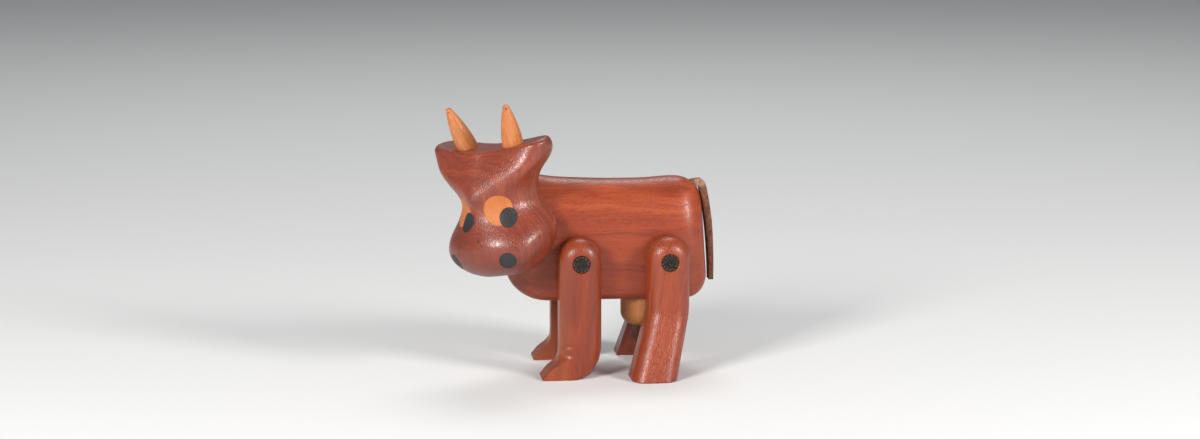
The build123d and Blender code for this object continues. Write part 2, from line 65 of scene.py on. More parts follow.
# The plugs and horns of the head in the CAD model, left and right, and the way that they point
EYE_AT = (Vector((-0.027206, -0.019136, 0.059809)), Vector((-0.033915, -0.013231, 0.058746)))
PUPIL_AT = (Vector((-0.023880, -0.020749, 0.057355)), Vector((-0.033044, -0.017376, 0.055522)))
NOSTRIL_AT = (Vector((-0.024370, -0.024497, 0.043454)), Vector((-0.036595, -0.013737, 0.041518)))
PLUG_OUT = (Vector((-0.17122, -0.97805, -0.11877)), Vector((-0.91664, -0.32199, -0.23683)))
HORN_AT = (Vector((-0.022511, -0.017937, 0.080027)), Vector((-0.036823, -0.005340, 0.077760)))
HORN_UP = (Vector((-0.18595, -0.30796, 0.93305)), Vector((-0.44474, -0.08020, 0.89206)))
EYE_RADIUS = 5.0 * MM
PLUG_RADIUS = 3.0 * MM
HORN_HEIGHT = 14.8 * MM


def in_head(ahead, aside, up):
    """A place given in mm in the head's own frame."""
    return CHIN + (AHEAD * ahead + ASIDE * aside + UPWARD * up) * MM


# Colours, as a dark, a middle and a light tone where there are three
RED = ((0.120, 0.015, 0.005), (0.275, 0.039, 0.009), (0.400, 0.082, 0.019))
LEG_RED = ((0.095, 0.012, 0.005), (0.240, 0.035, 0.009), (0.370, 0.078, 0.019))
# The right legs' tones: a darker wood, made darker still with painted shade for the shadow on the far side
FAR_WOOD_AND_SHADE_RED = ((0.070, 0.010, 0.005), (0.165, 0.025, 0.008), (0.265, 0.052, 0.014))
# The head's tones: partly its own deeper wood, partly painted shade for the dark reflection on its upward
# faces
DEEP_RED = ((0.085, 0.013, 0.007), (0.195, 0.030, 0.011), (0.310, 0.060, 0.019))
TAN = ((0.34, 0.090, 0.022), (0.48, 0.155, 0.042), (0.60, 0.235, 0.078))
DISC = ((0.39, 0.105, 0.026), (0.50, 0.155, 0.042), (0.58, 0.205, 0.062))
OCHRE = ((0.33, 0.105, 0.028), (0.45, 0.160, 0.042), (0.54, 0.220, 0.070))
BLACK_BROWN = ((0.012, 0.005, 0.004), (0.070, 0.020, 0.012), (0.170, 0.060, 0.032))
CHARCOAL = ((0.014, 0.015, 0.016), (0.026, 0.027, 0.028), (0.042, 0.043, 0.044))
RUBBER = ((0.003, 0.0025, 0.0025), (0.016, 0.012, 0.010), (0.060, 0.048, 0.040))
YARN = ((0.010, 0.008, 0.007), (0.045, 0.036, 0.030), (0.150, 0.120, 0.100))
MARK = (0.012, 0.006, 0.005)
GLUE = (0.05, 0.015, 0.008)
PALE_STRIP = (0.46, 0.125, 0.040)
FLOOR = (0.80, 0.80, 0.79)
SKY = (0.80, 0.82, 0.85)

# Tones of the leather, each with its place on a ramp
SUEDE = ((0.36, (0.030, 0.011, 0.006)), (0.5, (0.140, 0.050, 0.026)), (0.64, (0.300, 0.120, 0.065)))
HIDE = ((0.3, (0.115, 0.022, 0.015)), (0.55, (0.230, 0.052, 0.034)), (0.8, (0.330, 0.095, 0.062)))
CRACKED = ((0.01, (0.20, 0.060, 0.040)), (0.08, (0.42, 0.230, 0.165)), (0.4, (0.54, 0.340, 0.260)))
DARK_TIP = (0.09, 0.032, 0.022)

VARNISH_IOR = 1.5
COAT_ROUGH = 0.22

# Sockets of a Mix node that mixes colours
MIX_SHARE, MIX_A, MIX_B, MIX_RESULT = 0, 6, 7, 2


class Tree:
    """Short names for building one material."""

    def __init__(self, name):
        self.material = bpy.data.materials.new(name)
        self.material.use_nodes = True
        self.nodes = self.material.node_tree.nodes
        self.links = self.material.node_tree.links
        self.nodes.clear()
        out = self.nodes.new("ShaderNodeOutputMaterial")
        self.shader = self.nodes.new("ShaderNodeBsdfPrincipled")
        self.links.new(self.shader.outputs[0], out.inputs["Surface"])

    def add(self, kind, **values):
        node = self.nodes.new(kind)
        for key, value in values.items():
            setattr(node, key, value)
        return node

    def fill(self, socket, value):
        """Set a socket to a number or a colour, or link it."""
        if isinstance(value, (int, float)):
            socket.default_value = value
        elif isinstance(value, tuple):
            socket.default_value = (*value, 1) if len(socket.default_value) == 4 else value
        else:
            self.links.new(value, socket)

    def point(self):
        return self.add("ShaderNodeTexCoord").outputs["Object"]

    def surface(self):
        return self.add("ShaderNodeTexCoord").outputs["UV"]

    def split(self, vector):
        node = self.add("ShaderNodeSeparateXYZ")
        self.links.new(vector, node.inputs[0])
        return node.outputs

    def mapped(self, vector, shift=(0, 0, 0), turn=(0, 0, 0), scale=(1, 1, 1)):
        node = self.add("ShaderNodeMapping", vector_type="POINT")
        node.inputs["Location"].default_value = shift
        node.inputs["Rotation"].default_value = turn
        node.inputs["Scale"].default_value = scale
        self.links.new(vector, node.inputs["Vector"])
        return node.outputs[0]

    def along(self, direction, origin):
        """Object coordinates with X along a direction and zero at a point."""
        x = Vector(direction).normalized()
        helper = Vector((0, 0, 1)) if abs(x.z) < 0.8 else Vector((0, 1, 0))
        y = helper.cross(x).normalized()
        rows = Matrix((x, y, x.cross(y)))
        shift = -(rows @ Vector(origin))
        return self.mapped(self.point(), tuple(shift), tuple(rows.to_euler("XYZ")))

    def noise(self, vector, scale, detail, rough, distort=0.0):
        node = self.add("ShaderNodeTexNoise")
        numbers = {"Scale": scale, "Detail": detail, "Roughness": rough, "Distortion": distort}
        for name, value in numbers.items():
            node.inputs[name].default_value = value
        self.links.new(vector, node.inputs["Vector"])
        return node.outputs[0]

    def noise_1d(self, value, detail, rough):
        node = self.add("ShaderNodeTexNoise", noise_dimensions="1D")
        node.inputs["Scale"].default_value = 1.0
        node.inputs["Detail"].default_value = detail
        node.inputs["Roughness"].default_value = rough
        self.fill(node.inputs["W"], value)
        return node.outputs[0]

    def grained(self, vector, scale, detail, rough, distort=0.0):
        """Noise with one scale along the grain and another across it."""
        lengthwise, across = scale
        stretched = self.mapped(vector, scale=(lengthwise, across, across))
        return self.noise(stretched, 1.0, detail, rough, distort)

    def cells(self, vector, scale, feature="F1"):
        node = self.add("ShaderNodeTexVoronoi", feature=feature)
        node.inputs["Scale"].default_value = scale
        self.links.new(vector, node.inputs["Vector"])
        return node.outputs["Distance"]

    def ramp(self, value, *stops):
        node = self.add("ShaderNodeValToRGB")
        ramp = node.color_ramp
        while len(ramp.elements) < len(stops):
            ramp.elements.new(0.5)
        for element, (place, colour) in zip(ramp.elements, stops):
            element.position = place
            element.color = (*colour, 1)
        self.links.new(value, node.inputs["Fac"])
        return node.outputs["Color"]

    def span(self, value, low, high, to_low=0.0, to_high=1.0):
        node = self.add("ShaderNodeMapRange", clamp=True)
        numbers = {"From Min": low, "From Max": high, "To Min": to_low, "To Max": to_high}
        for name, number in numbers.items():
            node.inputs[name].default_value = number
        self.links.new(value, node.inputs["Value"])
        return node.outputs["Result"]

    def mix(self, share, a, b, how="MIX"):
        node = self.add("ShaderNodeMix", data_type="RGBA", blend_type=how)
        for index, value in ((MIX_SHARE, share), (MIX_A, a), (MIX_B, b)):
            self.fill(node.inputs[index], value)
        return node.outputs[MIX_RESULT]

    def math(self, how, a, b=0.0):
        node = self.add("ShaderNodeMath", operation=how)
        self.fill(node.inputs[0], a)
        self.fill(node.inputs[1], b)
        return node.outputs[0]

    def times(self, a, b):
        return self.math("MULTIPLY", a, b)

    def centred(self, noise, reach):
        """Noise moved to lie about zero, times a reach."""
        return self.times(self.math("SUBTRACT", noise, 0.5), reach)

    def total(self, *terms):
        """The sum of values, each times its weight."""
        whole = None
        for value, weight in terms:
            part = self.times(value, weight)
            whole = part if whole is None else self.math("ADD", whole, part)
        return whole

    def vector_math(self, how, a, b=None):
        node = self.add("ShaderNodeVectorMath", operation=how)
        self.fill(node.inputs[0], a)
        if b is not None:
            self.fill(node.inputs[1], b)
        return node.outputs["Value" if how == "LENGTH" else "Vector"]

    def reach(self, vector, stretch):
        """Distance from zero, with each axis stretched."""
        return self.vector_math("LENGTH", self.vector_math("MULTIPLY", vector, stretch))

    def bump(self, height, strength, distance):
        node = self.add("ShaderNodeBump")
        node.inputs["Strength"].default_value = strength
        node.inputs["Distance"].default_value = distance
        self.links.new(height, node.inputs["Height"])
        return node.outputs[0]

    def finish(self, colour, rough, normal, coat=0.0, level=0.5):
        self.fill(self.shader.inputs["Base Color"], colour)
        self.fill(self.shader.inputs["Roughness"], rough)
        self.links.new(normal, self.shader.inputs["Normal"])
        self.links.new(normal, self.shader.inputs["Coat Normal"])
        self.shader.inputs["IOR"].default_value = VARNISH_IOR
        self.shader.inputs["Specular IOR Level"].default_value = level
        self.shader.inputs["Coat Weight"].default_value = coat
        self.shader.inputs["Coat Roughness"].default_value = COAT_ROUGH
        return self.material


# Noise of the wood: scale per metre along and across the grain, detail, roughness, distortion.
# Dimples and patches are in the varnish.
WARP = ((14, 55), 3.0, 0.55)
FIBRE = ((90, 2300), 4.0, 0.6, 0.2)
STREAK = ((22, 260), 4.0, 0.55, 0.5)
SLOW = ((16, 42), 2.0, 0.5)
CAST = ((28, 28), 2.0, 0.5)
PORE = ((330, 3300), 2.0, 0.5)
DIMPLE = ((800, 1900), 1.0, 0.5)
PATCH = (420.0, 4.0, 0.65)

# The spans of noise over which the shade, the pores and the dimples go from least to most
CAST_SPAN, PORE_SPAN, DIMPLE_SPAN, DULL_SPAN = (0.32, 0.68), (0.60, 0.74), (0.48, 0.62), (0.15, 0.75)

# How the year rings slant along the trunk, wander and break up
PITH_SLANT, RING_WARP, RING_DETAIL, RING_ROUGH = 0.035, 7.0, 2.0, 0.6

# Weights of fibres and slow changes in the tone, and how far it goes from dark to light
FIBRE_WEIGHT, SLOW_WEIGHT, TONE_REACH = 0.30, 0.35, 0.31

# Strengths of the pale strip, the marks and the glue line over the wood's own colour; the share
# of a mark's radius that is its core, and how ragged it is; and the glue line in from the rim
PALE_SHARE, MARK_SHARE, GLUE_SHARE = 0.20, 0.85, 0.7
MARK_CORE, MARK_RAGGED, PALE_RAGGED = 0.35, 1.6, 6 * MM
GLUE_FROM, GLUE_TO = 0.28 * MM, 0.05 * MM
PORE_DARKNESS = 0.4

# The varnish: how far its roughness goes below and above the mean, and the depth of its relief
GLOSSIER, DULLER = 0.08, 0.12
RELIEF, RELIEF_DEPTH = 0.60, 0.07 * MM


def year_rings(t, grain, moved, ring):
    """Tones in shells round the pith, with a year ring of so many mm on average."""
    from_pith = t.reach(grain, (PITH_SLANT, 1.0, 1.0))
    warp = t.times(t.grained(moved, *WARP), RING_WARP)
    return t.noise_1d(t.math("ADD", t.times(from_pith, 1000.0 / ring), warp), RING_DETAIL, RING_ROUGH)


def shaded(t, colour, moved, drift):
    """The colour, made slowly lighter and darker by up to the drift."""
    shade = t.span(t.grained(moved, *CAST), *CAST_SPAN, 1 - drift, 1 + drift)
    factor = t.ramp(t.times(shade, 0.5), (0.0, (0, 0, 0)), (1.0, (2, 2, 2)))
    return t.mix(1.0, colour, factor, "MULTIPLY")


def wood(name, tones, along, pith, ring=1.4, figure=0.5, streaks=0.35, pores=0.45, rough=0.40,
         coat=0.12, level=0.5, speckle=0.5, drift=0.16, marks=(), rim=None, pale_edge=None, seed=0.0):
    """Varnished wood, cut from a trunk that runs along a direction past its pith.

    ring is the mean year ring in mm; figure, streaks and pores say how strongly they show, and
    speckle how deep the varnish is dimpled; marks are (point, radius, stretch) of dark specks;
    rim is (point, axis, radius) of a plug whose glue line shows; pale_edge is (from, to) in X of
    a paler strip at the front."""
    t = Tree(name)
    grain = t.along(along, pith)
    moved = t.mapped(grain, (seed, 0.37 * seed, 0.11 * seed))
    fibre = t.grained(moved, *FIBRE)
    streak = t.grained(moved, *STREAK)
    tone = t.total((year_rings(t, grain, moved, ring), figure), (streak, streaks),
                   (fibre, FIBRE_WEIGHT), (t.grained(moved, *SLOW), SLOW_WEIGHT))
    middle = 0.5 * (figure + streaks + FIBRE_WEIGHT + SLOW_WEIGHT)
    tone = t.span(tone, middle - TONE_REACH, middle + TONE_REACH)
    colour = t.ramp(tone, (0.0, tones[0]), (0.5, tones[1]), (1.0, tones[2]))
    colour = shaded(t, colour, moved, drift)
    pore = t.span(t.grained(moved, *PORE), *PORE_SPAN)
    colour = t.mix(t.times(pore, pores), colour, tuple(c * PORE_DARKNESS for c in tones[0]))
    if pale_edge:
        edge = t.math("ADD", t.split(t.point())["X"], t.centred(streak, PALE_RAGGED))
        share = t.times(t.span(edge, *pale_edge, 1.0, 0.0), PALE_SHARE)
        colour = t.mix(share, colour, PALE_STRIP)
    for place, radius, stretch in marks:
        away = t.reach(t.vector_math("SUBTRACT", t.point(), tuple(place)), stretch)
        away = t.math("ADD", away, t.centred(streak, MARK_RAGGED * radius))
        share = t.times(t.span(away, MARK_CORE * radius, radius, 1.0, 0.0), MARK_SHARE)
        colour = t.mix(share, colour, MARK)
    if rim:
        place, axis, radius = rim
        around = t.reach(t.along(axis, place), (0.0, 1.0, 1.0))
        share = t.span(around, radius - GLUE_FROM, radius - GLUE_TO, 0.0, GLUE_SHARE)
        colour = t.mix(share, colour, GLUE)
    dimple = t.span(t.grained(moved, *DIMPLE), *DIMPLE_SPAN)
    patch = t.noise(t.point(), *PATCH)
    height = t.total((dimple, -speckle), (patch, 0.6), (fibre, 0.4), (pore, -0.3))
    dull = t.span(t.total((patch, 0.6), (dimple, 0.4)), *DULL_SPAN, rough - GLOSSIER, rough + DULLER)
    return t.finish(colour, dull, t.bump(height, RELIEF, RELIEF_DEPTH), coat, level)


# Scales per metre of the cord's fuzz (with its detail and roughness) and cells
CORD_FUZZ, CORD_CELLS = (3000.0, 4.0, 0.7), 1900.0


def cord_end(name, tones):
    """Rubber threads or the yarn of their braided cover, cut through."""
    t = Tree(name)
    space = t.point()
    fuzz = t.noise(space, *CORD_FUZZ)
    tone = t.total((t.cells(space, CORD_CELLS), 0.8), (fuzz, 0.6))
    colour = t.ramp(tone, (0.30, tones[0]), (0.58, tones[1]), (0.85, tones[2]))
    dull = t.span(fuzz, 0.3, 0.7, 0.75, 0.95)
    return t.finish(colour, dull, t.bump(tone, 0.8, 0.3 * MM), level=0.25)


# Noise of the leather (scale per metre, detail, roughness), and the scale of its pebbles and cracks
LEATHER_FUZZ, LEATHER_BLOTCH, PEBBLES = (2600.0, 5.0, 0.7), (420.0, 4.0, 0.6), 2300.0

# Places along the leather strip (m), from its end in the rump: where the cracks of its bend
# begin and end, and where its tip darkens. Then how far its smooth face reaches to each side,
# and how ragged these limits are.
CRACKS_BEGIN, CRACKS_END = (0.0064, 0.0074), (0.0090, 0.0108)
TIP_DARKENS = (0.0425, 0.0437)
FACE_REACH, FACE_FADE = 2.15 * MM, 0.2 * MM
FACE_RAGGED, CRACKS_RAGGED = 0.9 * MM, 4 * MM


def leather():
    """A leather strip: smooth red-brown grain outside, suede inside and at the cut edges.

    Its UV is the way along the strip and the way round it from the middle of the face, in m."""
    t = Tree("leather")
    uv = t.surface()
    parts = t.split(uv)
    length, round_it = parts["X"], parts["Y"]
    spread = t.mapped(uv, scale=(1, 1, 0))
    fuzz = t.noise(spread, *LEATHER_FUZZ)
    blotch = t.noise(spread, *LEATHER_BLOTCH)
    suede = t.ramp(t.total((fuzz, 0.6), (blotch, 0.4)), *SUEDE)
    ragged = t.centred(blotch, FACE_RAGGED)
    from_middle = t.math("ADD", t.math("ABSOLUTE", round_it), ragged)
    face = t.span(from_middle, FACE_REACH, FACE_REACH + FACE_FADE, 1.0, 0.0)
    colour = t.mix(face, suede, t.ramp(blotch, *HIDE))
    crack = t.cells(t.mapped(uv, scale=(1.0, 0.35, 0)), PEBBLES, "DISTANCE_TO_EDGE")
    worn = t.math("SUBTRACT", length, t.centred(blotch, CRACKS_RAGGED))
    bent = t.times(t.span(worn, *CRACKS_BEGIN), t.span(worn, *CRACKS_END, 1.0, 0.0))
    colour = t.mix(t.times(bent, 0.85), colour, t.ramp(crack, *CRACKED))
    tip = t.span(t.math("ADD", length, ragged), *TIP_DARKENS)
    colour = t.mix(t.times(tip, 0.5), colour, DARK_TIP)
    crease = t.times(bent, t.span(crack, 0.0, 0.15, 1.0, 0.0))
    height = t.total((t.cells(spread, PEBBLES), 0.8), (fuzz, 0.7), (crease, -1.5))
    dull = t.span(face, 0.0, 1.0, 0.85, 0.47)
    return t.finish(colour, dull, t.bump(height, 0.5, 0.16 * MM), level=0.4)


def paint(material, *names):
    for name in names:
        piece = NODES[name]
        piece.data.materials.clear()
        piece.data.materials.append(material)


# Materials of the CAD pieces
paint(wood("body_wood", RED, (1, 0.02, -0.012), (0, 0.012, -0.030), ring=4.2, figure=0.42,
           streaks=0.30, seed=0.31), "body")

HEAD_MARKS = ((in_head(-6.8, 15.5, 36.6), 1.1 * MM, (1, 1, 0.6)),
              (in_head(3.6, 4.5, 33.0), 0.5 * MM, (1.6, 1.6, 0.5)),
              (in_head(13.2, 1.5, 14.5), 0.6 * MM, (1, 1, 0.8)))
# The head's darker tones are partly painted shade, standing for the dark reflection on its upward faces
paint(wood("head_wood", DEEP_RED, UPWARD, in_head(-52, 9, 0), ring=1.5, figure=0.40, streaks=0.22,
           rough=0.42, coat=0.45, speckle=0.75, seed=1.7, marks=HEAD_MARKS), "head")

PALE_FRONT = (FRONT_CORD_X - 6.0 * MM, FRONT_CORD_X - 3.2 * MM)
LEG_MARKS = (((CORD_SPAN - 0.0010, -0.0197, 0.0435), 0.55 * MM, (1, 0.4, 1)),
             ((CORD_SPAN + 0.0016, -0.029, 0.0030), 0.60 * MM, (1, 0.5, 1)))
HORN_CHIPS = (((0.2, -0.9, -1.2), 0.45), ((1.5, -0.9, -2.9), 0.40), ((-0.7, 0.4, -0.5), 0.5),
              ((-0.9, -0.7, -3.4), 0.25))

for number, side in enumerate(SIDES):
    out = OUTWARD[number]
    # The right legs take darker tones, partly their own darker wood and partly painted shade
    tones = (LEG_RED, FAR_WOOD_AND_SHADE_RED)[number]
    leg = "front_leg_" + side
    paint(wood(leg + "_wood", tones, (0.03, 0.0, 1), (-0.020 + 0.05 * number, out * 0.05, 0),
               ring=2.8, figure=0.30, streaks=0.26, seed=2.3 + number, pale_edge=PALE_FRONT), leg)
    leg = "rear_leg_" + side
    paint(wood(leg + "_wood", tones, (0.10, out * 0.12, 1), (0.050, out * 0.044, 0), ring=1.9,
               figure=0.38, streaks=0.20, coat=0.22, speckle=0.8, seed=4.1 + number,
               marks=(LEG_MARKS, ())[number]), leg)

    tip = HORN_AT[number] + HORN_UP[number] * HORN_HEIGHT
    chips = [(tip + Vector(step) * MM, size * MM, (1, 1, 1)) for step, size in HORN_CHIPS]
    paint(wood("horn_%s_wood" % side, TAN, HORN_UP[number], HORN_AT[number] + Vector((0.02, 0.01, 0)),
               ring=1.1, figure=0.4, streaks=0.4, pores=0.2, rough=0.42, coat=0.15, drift=0.07,
               seed=6.0 + number, marks=chips), "horn_" + side)
    paint(wood("eye_%s_wood" % side, DISC, UPWARD, EYE_AT[number] + Vector((0.02, 0.02, 0)), ring=1.6,
               figure=0.3, streaks=0.3, pores=0.12, rough=0.55, coat=0.0, level=0.35, drift=0.05,
               seed=8.0 + number, rim=(EYE_AT[number], PLUG_OUT[number], EYE_RADIUS)), "eye_" + side)
    for kind, places in (("pupil", PUPIL_AT), ("nostril", NOSTRIL_AT)):
        plug = "%s_%s" % (kind, side)
        paint(wood(plug + "_wood", CHARCOAL, UPWARD, places[number] + Vector((0.03, 0, 0)), ring=0.8,
                   figure=0.25, streaks=0.4, pores=0.2, rough=0.42, coat=0.0, level=0.35,
                   speckle=0.3, drift=0.08, seed=9.0 + number,
                   rim=(places[number], PLUG_OUT[number], PLUG_RADIUS)), plug)

paint(wood("udder_wood", OCHRE, (0, 0, 1), (0.05, 0.02, 0), ring=1.3, figure=0.4, streaks=0.4,
           pores=0.35, rough=0.45, coat=0.0, drift=0.1), "udder")
paint(wood("teat_wood", BLACK_BROWN, (0, 0, 1), (0.04, 0.01, 0), ring=0.7, figure=0.6, streaks=0.5,
           rough=0.38), "teat_front_left", "teat_front_right", "teat_rear_left", "teat_rear_right")
paint(wood("pin_wood", OCHRE, (0, 0, 1), (0.03, 0.02, 0), rough=0.5, coat=0.0), "neck_pin")
threads = cord_end("cord_end", RUBBER)
yarn = cord_end("cord_yarn", YARN)
paint(threads, "front_cord", "rear_cord", "neck_cord")


def new_piece(name, verts, faces, materials, smooth=True, picks=None, uvs=None):
    """A mesh object; picks gives each face its material, and uvs gives each face's corners theirs."""
    mesh = bpy.data.meshes.new(name)
    mesh.from_pydata([tuple(v) for v in verts], [], faces)
    for material in materials:
        mesh.materials.append(material)
    for number, face in enumerate(mesh.polygons):
        face.use_smooth = smooth
        face.material_index = picks[number] if picks else 0
    if uvs:
        layer = mesh.uv_layers.new(name="UVMap")
        for face, corners in zip(mesh.polygons, uvs):
            for index, uv in zip(face.loop_indices, corners):
                layer.data[index].uv = uv
    mesh.validate()
    mesh.update()
    piece = bpy.data.objects.new(name, mesh)
    bpy.context.collection.objects.link(piece)
    return piece


def heading(path, index):
    """The direction of a path at one of its places."""
    ahead = path[min(index + 1, len(path) - 1)] - path[max(index - 1, 0)]
    ahead.normalize()
    return ahead


def rod(path, radii, around, verts, faces):
    """A closed tube along a path, with a ring of points at each place."""
    first = len(verts)
    for index, (place, radius) in enumerate(zip(path, radii)):
        ahead = heading(path, index)
        helper = Vector((0, 0, 1)) if abs(ahead.z) < 0.9 else Vector((1, 0, 0))
        side = helper.cross(ahead).normalized()
        up = ahead.cross(side)
        for step in range(around):
            angle = 2 * math.pi * step / around
            verts.append(place + (side * math.cos(angle) + up * math.sin(angle)) * radius)
    for ring in range(len(path) - 1):
        for step in range(around):
            a = first + ring * around + step
            b = first + ring * around + (step + 1) % around
            faces.append((a, b, b + around, a + around))
    faces.append(tuple(first + step for step in reversed(range(around))))
    last = first + (len(path) - 1) * around
    faces.append(tuple(last + step for step in range(around)))


# The cut ends of the leg cords (mm): the cord's radius, how far out from the middle plane it is
# cut, and how deep its strands are rooted in the CAD cord
CORD_RADIUS, CORD_CUT, ROOTED = 2.92, 21.25, 0.3
# Rubber threads: pitch and rows of the close packing, the rim left to the yarns, how far a thread
# strays, how far it stands out, its lean, and its radii from foot to tip
THREAD_PITCH, THREAD_ROWS, THREAD_RIM, THREAD_STRAY = 0.56, 5, 0.72, 0.06
ROW_STEP = THREAD_PITCH * 0.866
THREAD_HEIGHTS, THREAD_LEAN, THREAD_RADII = (0.05, 0.42), 0.08, (0.27, 0.26, 0.15)
# Yarns of the braid: how many, their crossing in radians, how far in their two layers lie, how
# far they stand out, and their radii
YARNS, YARN_CROSSING, YARN_INSET, YARN_LAYER = 26, 0.16, 0.34, 0.14
YARN_HEIGHTS, YARN_RADII = (0.15, 0.5), (0.22, 0.22, 0.13)
# Loose fibres: how many, their bends, the ring that they grow from, the step outward at each
# bend, and their radii
HAIRS, HAIR_BENDS, HAIR_RING, HAIR_STEP = 34, 4, (1.7, CORD_RADIUS - 0.25), 0.17
HAIR_RADII = (0.035, 0.035, 0.035, 0.035, 0.015)
THREAD_SIDES, YARN_SIDES, HAIR_SIDES = 8, 7, 5
OF_RUBBER, OF_YARN = 0, 1


def cord_bundle(name, x, side, seed):
    """The cut end of an elastic cord: rubber threads inside a ring of braid yarns and loose fibres."""
    dice = random.Random(seed)
    verts, faces, picks = [], [], []
    out = Vector((0, side, 0))
    centre = Vector((x, MIDDLE_Y, CORD_Z)) + out * CORD_CUT * MM

    def strand(path, radii, around, pick):
        before = len(faces)
        rod(path, [radius * MM for radius in radii], around, verts, faces)
        picks.extend([pick] * (len(faces) - before))

    def on_ring(angle, radius):
        return centre + Vector((math.cos(angle), 0, math.sin(angle))) * radius * MM

    def stray(reach):
        return dice.uniform(-reach, reach)

    def flat_stray(reach):
        return Vector((stray(reach), 0, stray(reach)))

    for row in range(-THREAD_ROWS, THREAD_ROWS + 1):
        for column in range(-THREAD_ROWS, THREAD_ROWS + 1):
            across = (column + 0.5 * (row % 2)) * THREAD_PITCH + stray(THREAD_STRAY)
            up = row * ROW_STEP + stray(THREAD_STRAY)
            from_centre = math.hypot(across, up)
            if from_centre > CORD_RADIUS - THREAD_RIM:
                continue
            foot = centre + Vector((across, 0, up)) * MM
            height = dice.uniform(*THREAD_HEIGHTS) * (1.25 - from_centre / CORD_RADIUS)
            lean = flat_stray(THREAD_LEAN)
            path = [foot - out * ROOTED * MM,
                    foot + (out * height * 0.75 + lean * 0.6) * MM,
                    foot + (out * height + lean) * MM]
            strand(path, THREAD_RADII, THREAD_SIDES, OF_RUBBER)

    for step in range(YARNS):
        odd = step % 2
        angle = 2 * math.pi * (step + stray(0.2)) / YARNS
        turned = angle + (YARN_CROSSING if odd else -YARN_CROSSING)
        radius = CORD_RADIUS - YARN_INSET - (YARN_LAYER if odd else 0.0)
        foot = on_ring(angle, radius)
        top = on_ring(turned, radius + dice.uniform(-0.12, 0.08))
        height = dice.uniform(*YARN_HEIGHTS)
        path = [foot - out * ROOTED * MM,
                (foot + top) / 2 + out * height * 0.6 * MM,
                top + out * height * MM]
        strand(path, YARN_RADII, YARN_SIDES, OF_YARN)

    limit = (CORD_RADIUS - 0.1) * MM
    for _ in range(HAIRS):
        angle = dice.uniform(0, 2 * math.pi)
        path = [on_ring(angle, dice.uniform(*HAIR_RING))]
        drift = flat_stray(1) * 0.35
        for _ in range(HAIR_BENDS):
            drift = drift * 0.85 + flat_stray(0.12)
            place = path[-1] + (out * HAIR_STEP + drift * 0.42) * MM
            flat = place - centre
            flat.y = 0
            if flat.length > limit:
                place -= flat * (1 - limit / flat.length)
            path.append(place)
        strand(path, HAIR_RADII, HAIR_SIDES, OF_YARN)

    piece = new_piece(name, verts, faces, [threads, yarn], picks=picks)
    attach(piece, "trunk")


for end, x, first_seed in (("front", FRONT_CORD_X, 11), ("rear", REAR_CORD_X, 13)):
    for number, side in enumerate(SIDES):
        cord_bundle("%s_cord_end_%s" % (end, side), x, OUTWARD[number], first_seed + number)

# The tail strip (mm), from the CAD model: the top of its bend, its width, thickness and drop, the
# slope of the rump behind it, and how far the middle of the strip hangs off the rump
BEND_X, BEND_Z = 43.0229, 64.0
TAIL_WIDTH, TAIL_THICKNESS, TAIL_DROP = 5.0, 2.2, 34.4
RUMP_SLOPE, STAND_OFF = 0.06642, 2.1
ROOT_SLOPE = math.radians(12)
ROOT_DEPTHS = (8.6, 6.0, 3.4, 1.4)
OVER_THE_BEND = ((0.05, 0.0), (0.72, -0.75))
# Below the bend, as shares of the drop and of the distance off the rump
HANG = ((0.073, 0.50), (0.125, 0.60), (0.203, 0.74), (0.30, 0.88), (0.392, 0.98), (0.50, 1.04),
        (0.593, 1.04), (0.70, 1.02), (0.785, 0.98), (0.87, 0.92), (0.93, 0.87), (0.965, 0.83),
        (0.985, 0.82))
# The cross-section: places across its faces and through its edges, as shares; the radius of its
# corners; and how far these and the edges lie in from the faces, as shares
ACROSS = (-1.0, -0.66, -0.33, 0.0, 0.33, 0.66, 1.0)
THROUGH = (0.5, 0.0, -0.5)
CORNER, CORNER_SINK, EDGE_SHARE = 0.42, 0.35, 0.65
# From the middle line to a face, as a share of the thickness, and what the strip loses of it at
# its root and, from halfway down, toward its tip
FACE_SHARE, ROOT_SHARE, TIP_LOSS = 0.58, 0.97, 0.30
# The bend's middle along the strip, its reach, and the height and waves per mm of its creases
BEND_AT, BEND_REACH, CREASE_HEIGHT, CREASE_RATE = 9.2, 1.5, 0.10, 9.0
# How the width shrinks at the bend and in the root, and waves below it; the hollow of the face;
# and the shares of the strip's length from which the waves and the hollow begin
BEND_PINCH, ROOT_PINCH, EDGE_WAVE, HOLLOW = 0.02, 0.01, 0.035, 0.10
WAVES_FROM, HOLLOW_FROM, TAPER_FROM = 0.22, 0.3, 0.5


def tail_line():
    """Middle line of the strip in the side view (mm): out of the rump, over, and down."""
    places = [(BEND_X - d * math.cos(ROOT_SLOPE), BEND_Z - d * math.sin(ROOT_SLOPE)) for d in ROOT_DEPTHS]
    places += [(BEND_X + x, BEND_Z + z) for x, z in OVER_THE_BEND]
    for drop, off in HANG:
        places.append((BEND_X + drop * TAIL_DROP * RUMP_SLOPE + off * STAND_OFF, BEND_Z - drop * TAIL_DROP))
    curve = bpy.data.curves.new("tail_line", "CURVE")
    curve.dimensions = "3D"
    spline = curve.splines.new("NURBS")
    spline.points.add(len(places) - 1)
    for point, (x, z) in zip(spline.points, places):
        point.co = (x, 0, z, 1)
    spline.order_u = 4
    spline.use_endpoint_u = True
    spline.resolution_u = 6
    carrier = bpy.data.objects.new("tail_line", curve)
    bpy.context.collection.objects.link(carrier)
    sampled = bpy.data.meshes.new_from_object(carrier)
    line = [v.co.copy() for v in sampled.vertices]
    bpy.data.objects.remove(carrier)
    bpy.data.curves.remove(curve)
    bpy.data.meshes.remove(sampled)
    return line


